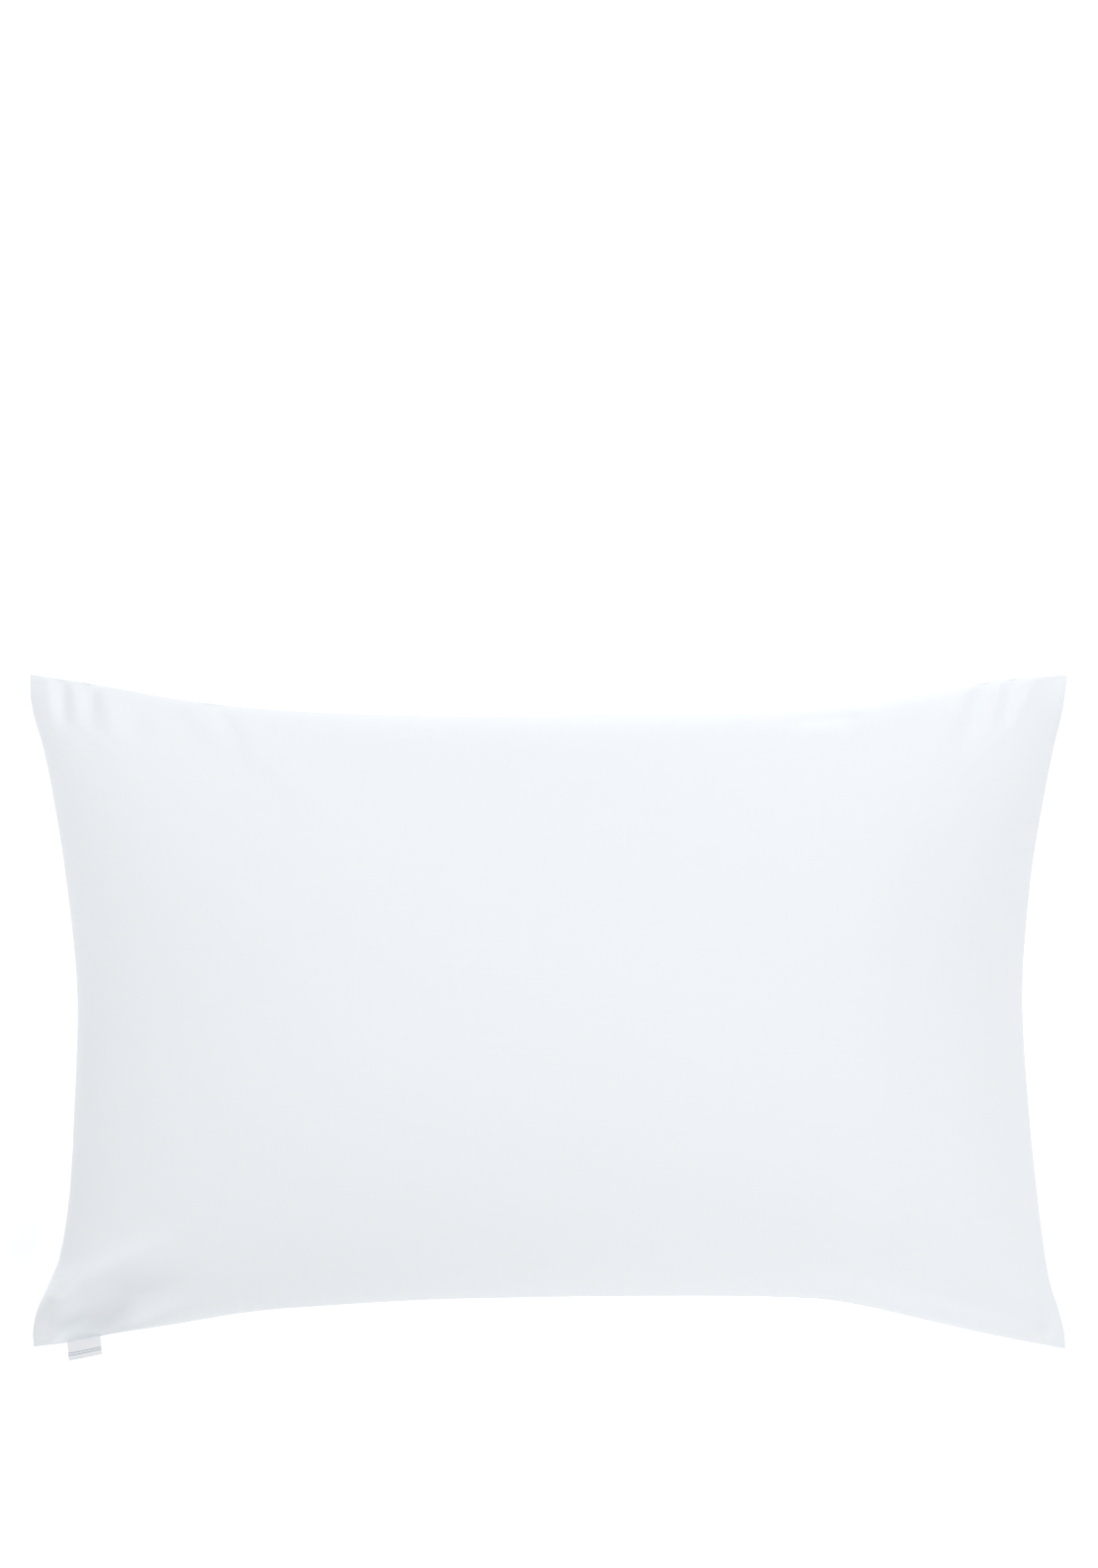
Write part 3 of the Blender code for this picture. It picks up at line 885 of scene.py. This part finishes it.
def satin_material():
    """Woven satin tape: long smooth threads along it give a soft gloss, and it is a cool white."""
    material = new_material("white woven satin tape")
    tree = material.node_tree
    coords = add_node(tree, "ShaderNodeTexCoord")
    ribs = add_node(tree, "ShaderNodeTexWave", {
        "Vector": coords.outputs["UV"], "Scale": wave_scale(SATIN_RIB_PITCH), "Distortion": 0.4,
        "Detail": 1.0, "Detail Scale": 2.0}, wave_type="BANDS", bands_direction="X")
    bump = add_node(tree, "ShaderNodeBump", {
        "Height": ribs.outputs["Fac"], "Distance": 0.04 * MM, "Strength": 0.6})
    place = add_node(tree, "ShaderNodeSeparateXYZ", {"Vector": coords.outputs["UV"]})
    # The distance from the fold, then from halfway between the lines, then from the nearer line
    gap = place.outputs["Y"]
    for middle in (0.0, STRIPE_MIDDLE, STRIPE_SPACING / 2):
        past = add_node(tree, "ShaderNodeMath", {0: gap, 1: middle}, operation="SUBTRACT")
        gap = add_node(tree, "ShaderNodeMath", {0: past.outputs[0]}, operation="ABSOLUTE").outputs[0]
    stripes = add_node(tree, "ShaderNodeMapRange", {
        "Value": gap, "From Min": STRIPE_WIDTH * (0.5 - STRIPE_BLUR),
        "From Max": STRIPE_WIDTH * (0.5 + STRIPE_BLUR), "To Min": 1.0, "To Max": 0.0})
    colour = add_node(tree, "ShaderNodeMix", {
        "Factor": stripes.outputs["Result"], "A": linear("#EDEFF3"), "B": linear("#AEB4BF")},
        data_type="RGBA")
    shader = add_node(tree, "ShaderNodeBsdfPrincipled", {
        "Base Color": colour.outputs[2], "Roughness": 0.45, "IOR": 1.5,
        "Normal": bump.outputs["Normal"]})
    add_node(tree, "ShaderNodeOutputMaterial", {"Surface": shader.outputs["BSDF"]})
    return material


class PILLOWCASE_OT_label(bpy.types.Operator):
    """Build the satin label that is caught in the lower seam"""

    bl_idname = "pillowcase.make_label"
    bl_label = "Label"

    def execute(self, context):
        settings = context.scene.pillowcase_label
        mesh, flat_length = label_mesh(settings)
        label = show("satin_label", mesh)
        tape = label.modifiers.new("tape", "SOLIDIFY")
        tape.thickness = settings.thickness
        tape.offset = 0.0
        label.data.materials.append(satin_material())
        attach(label, "root")
        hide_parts("side_label")
        return {"FINISHED"}


def hem_line():
    """The stitched line on the back, as points of the case's own mesh."""
    mesh = bpy.data.objects["case_cloth"].data
    marks = mesh.attributes["hem_line"].data
    return [mesh.vertices[i].co.copy() for i, mark in enumerate(marks) if mark.value]


def stitch_tree(material):
    """Stitches along a curve: one short length of thread at each pitch."""
    tree = bpy.data.node_groups.new("stitches", "GeometryNodeTree")
    tree.interface.new_socket("Geometry", in_out="INPUT", socket_type="NodeSocketGeometry")
    for name in ("Pitch", "Length", "Thread"):
        tree.interface.new_socket(name, in_out="INPUT", socket_type="NodeSocketFloat")
    tree.interface.new_socket("Geometry", in_out="OUTPUT", socket_type="NodeSocketGeometry")
    given = add_node(tree, "NodeGroupInput")
    points = add_node(tree, "GeometryNodeResampleCurve", {
        "Curve": given.outputs["Geometry"], "Length": given.outputs["Pitch"]}, mode="LENGTH")
    tangent = add_node(tree, "GeometryNodeInputTangent")
    turn = add_node(tree, "FunctionNodeAlignEulerToVector", {"Vector": tangent.outputs["Tangent"]},
                    axis="X")
    radius = add_node(tree, "ShaderNodeMath", {0: given.outputs["Thread"], 1: 0.5}, operation="MULTIPLY")
    ball = add_node(tree, "GeometryNodeMeshUVSphere", {
        "Segments": 8, "Rings": 5, "Radius": radius.outputs[0]})
    stretch = add_node(tree, "ShaderNodeMath", {
        0: given.outputs["Length"], 1: given.outputs["Thread"]}, operation="DIVIDE")
    shape = add_node(tree, "ShaderNodeCombineXYZ", {"X": stretch.outputs[0], "Y": 1.0, "Z": 1.0})
    stitch = add_node(tree, "GeometryNodeTransform", {
        "Geometry": ball.outputs["Mesh"], "Scale": shape.outputs["Vector"]})
    placed = add_node(tree, "GeometryNodeInstanceOnPoints", {
        "Points": points.outputs["Curve"], "Instance": stitch.outputs["Geometry"],
        "Rotation": turn.outputs["Rotation"]})
    real = add_node(tree, "GeometryNodeRealizeInstances", {"Geometry": placed.outputs["Instances"]})
    dressed = add_node(tree, "GeometryNodeSetMaterial", {
        "Geometry": real.outputs["Geometry"], "Material": material})
    add_node(tree, "NodeGroupOutput", {"Geometry": dressed.outputs["Geometry"]})
    return tree


TWIST_PITCH = 0.3 * MM       # about how far apart the thread's plies lie


def thread_material():
    """Mercerised sewing thread: white, a little glossier than the cloth that it holds."""
    material = new_material("white mercerised thread")
    tree = material.node_tree
    coords = add_node(tree, "ShaderNodeTexCoord")
    twist = add_node(tree, "ShaderNodeTexWave", {
        "Vector": coords.outputs["Object"], "Scale": wave_scale(TWIST_PITCH), "Distortion": 0.0},
        wave_type="BANDS", bands_direction="DIAGONAL")
    bump = add_node(tree, "ShaderNodeBump", {
        "Height": twist.outputs["Fac"], "Distance": 0.05 * MM, "Strength": 0.6})
    shader = add_node(tree, "ShaderNodeBsdfPrincipled", {
        "Base Color": linear("#EEF0F5"), "Roughness": 0.6, "Normal": bump.outputs["Normal"]})
    add_node(tree, "ShaderNodeOutputMaterial", {"Surface": shader.outputs["BSDF"]})
    return material


class PILLOWCASE_OT_hem_stitches(bpy.types.Operator):
    """Sew the hem on the back, beside the case's mouth"""

    bl_idname = "pillowcase.make_hem_stitches"
    bl_label = "Hem stitches"

    def execute(self, context):
        settings = context.scene.pillowcase_hem
        points = hem_line()
        path = bpy.data.curves.new("hem line", "CURVE")
        path.dimensions = "3D"
        spline = path.splines.new("POLY")
        spline.points.add(len(points) - 1)
        spline.points.foreach_set("co", [c for point in points for c in (*point, 1.0)])
        line = show("hem_line", path)
        material = thread_material()
        sewing = line.modifiers.new("stitches", "NODES")
        sewing.node_group = stitch_tree(material)
        sizes = {"Pitch": settings.pitch, "Length": settings.stitch, "Thread": settings.thread}
        for socket in sewing.node_group.interface.items_tree:
            if socket.name in sizes:
                sewing[socket.identifier] = sizes[socket.name]
        sewn = line.evaluated_get(bpy.context.evaluated_depsgraph_get())
        mesh = bpy.data.meshes.new_from_object(sewn)
        bpy.data.objects.remove(line, do_unlink=True)
        mesh.shade_smooth()
        stitches = show("hem_stitches", mesh)
        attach(stitches, "root")
        return {"FINISHED"}


class PILLOWCASE_OT_studio(bpy.types.Operator):
    """Set the floor, the light and the camera"""

    bl_idname = "pillowcase.make_studio"
    bl_label = "Studio"

    def execute(self, context):
        studio = context.scene.pillowcase_studio
        make_floor(studio)
        make_light(studio)
        make_camera(studio)
        return {"FINISHED"}


FLOOR_SIZE = 60.0            # metres: reaches past what a low view shows
FLOOR_GAP = 0.5 * MM         # keeps the floor's face apart from the case's flat back


def make_floor(studio):
    """A white painted floor, lit a little from within so that shadows stay faint."""
    material = new_material("white studio floor")
    tree = material.node_tree
    shader = add_node(tree, "ShaderNodeBsdfPrincipled", {
        "Base Color": linear("#F6F6F6"), "Roughness": 0.9,
        "Emission Color": linear("#FFFFFF"), "Emission Strength": studio.floor_glow})
    add_node(tree, "ShaderNodeOutputMaterial", {"Surface": shader.outputs["BSDF"]})
    bm = bmesh.new()
    bmesh.ops.create_grid(bm, x_segments=1, y_segments=1, size=FLOOR_SIZE / 2)
    bmesh.ops.translate(bm, verts=bm.verts, vec=(0, 0, -FLOOR_GAP))
    mesh = bpy.data.meshes.new("floor")
    bm.to_mesh(mesh)
    bm.free()
    floor = show("floor", mesh)
    floor.data.materials.append(material)


# The lamps are square soft boxes that face the case's middle. Columns: name; direction on the floor,
# from +X towards +Y, and height above it, in degrees; distance and size in metres; power in watts.
Lamp = namedtuple("Lamp", "name azimuth elevation distance size power")
LAMPS = (
    Lamp("key_upper_right", 63, 25, 1.7, 1.0, 10.7),
    Lamp("fill_upper_left", 159, 37, 1.7, 1.0, 8.9),
    Lamp("fill_front", 299, 50, 1.7, 1.0, 13.2),
)
LAMP_TARGET = Vector((0.0, 0.0, 0.09))


def make_light(studio):
    """Three soft boxes, and even light from all round."""
    for lamp in LAMPS:
        light = bpy.data.lights.new(lamp.name, "AREA")
        light.shape = "SQUARE"
        light.size = lamp.size
        light.energy = studio.lamps * lamp.power
        azimuth, elevation = math.radians(lamp.azimuth), math.radians(lamp.elevation)
        away = Vector((math.cos(azimuth) * math.cos(elevation),
                       math.sin(azimuth) * math.cos(elevation), math.sin(elevation)))
        box = bpy.data.objects.new(lamp.name, light)
        box.location = LAMP_TARGET + away * lamp.distance
        box.rotation_euler = (-away).to_track_quat("-Z", "Y").to_euler()
        bpy.context.scene.collection.objects.link(box)
    world = bpy.data.worlds.new("even light")
    world.use_nodes = True
    sky = world.node_tree.nodes["Background"]
    sky.inputs["Color"].default_value = linear("#FFFFFF")
    sky.inputs["Strength"].default_value = studio.sky
    bpy.context.scene.world = world
    bpy.context.scene.view_settings.view_transform = "Standard"


# The photo's frame: its size and the place of the case's middle in it, in pixels, and the size of
# a pixel on the seam
PHOTO_WIDTH = 1110
PHOTO_HEIGHT = 1585
MIDDLE_COLUMN = 555.1
MIDDLE_ROW = 1022.3
PIXEL = 0.7 * MM
SENSOR = 36 * MM


def make_camera(studio):
    """A camera that looks straight down, shifted so that the case lies low in the frame."""
    data = bpy.data.cameras.new("camera")
    data.sensor_width = SENSOR / MM
    data.lens = SENSOR / MM * studio.distance / (PHOTO_HEIGHT * PIXEL)
    data.shift_x = (PHOTO_WIDTH / 2 - MIDDLE_COLUMN) / PHOTO_HEIGHT
    data.shift_y = (MIDDLE_ROW - PHOTO_HEIGHT / 2) / PHOTO_HEIGHT
    camera = bpy.data.objects.new("camera", data)
    camera.location = (SHIFT[0], SHIFT[1], SEAM_HEIGHT + studio.distance)
    bpy.context.scene.collection.objects.link(camera)
    bpy.context.scene.camera = camera


class PILLOWCASE_PT_panel(bpy.types.Panel):
    """The pillowcase's sizes and the buttons that build it"""

    bl_idname = "PILLOWCASE_PT_panel"
    bl_label = "Pillowcase"
    bl_space_type = "VIEW_3D"
    bl_region_type = "UI"
    bl_category = "Pillowcase"

    def draw(self, context):
        for group_name, _, operator in STEPS:
            box = self.layout.box()
            group = getattr(context.scene, group_name)
            for name in group.bl_rna.properties.keys():
                if name not in ("rna_type", "name"):
                    box.prop(group, name)
            box.operator(operator.bl_idname)


STEPS = (
    ("pillowcase_cloth", ClothSettings, PILLOWCASE_OT_cloth),
    ("pillowcase_hem", HemSettings, PILLOWCASE_OT_hem_stitches),
    ("pillowcase_label", LabelSettings, PILLOWCASE_OT_label),
    ("pillowcase_studio", StudioSettings, PILLOWCASE_OT_studio),
)


def register():
    """Register the classes and hang the settings on the scene."""
    for group_name, group, operator in STEPS:
        bpy.utils.register_class(group)
        bpy.utils.register_class(operator)
        setattr(bpy.types.Scene, group_name, PointerProperty(type=group))
    bpy.utils.register_class(PILLOWCASE_PT_panel)


def unregister():
    """Undo register."""
    bpy.utils.unregister_class(PILLOWCASE_PT_panel)
    for group_name, group, operator in STEPS:
        delattr(bpy.types.Scene, group_name)
        bpy.utils.unregister_class(operator)
        bpy.utils.unregister_class(group)


def main():
    """Build everything."""
    register()
    bpy.ops.pillowcase.make_cloth()
    bpy.ops.pillowcase.make_hem_stitches()
    bpy.ops.pillowcase.make_label()
    bpy.ops.pillowcase.make_studio()


if __name__ == "__main__":
    main()
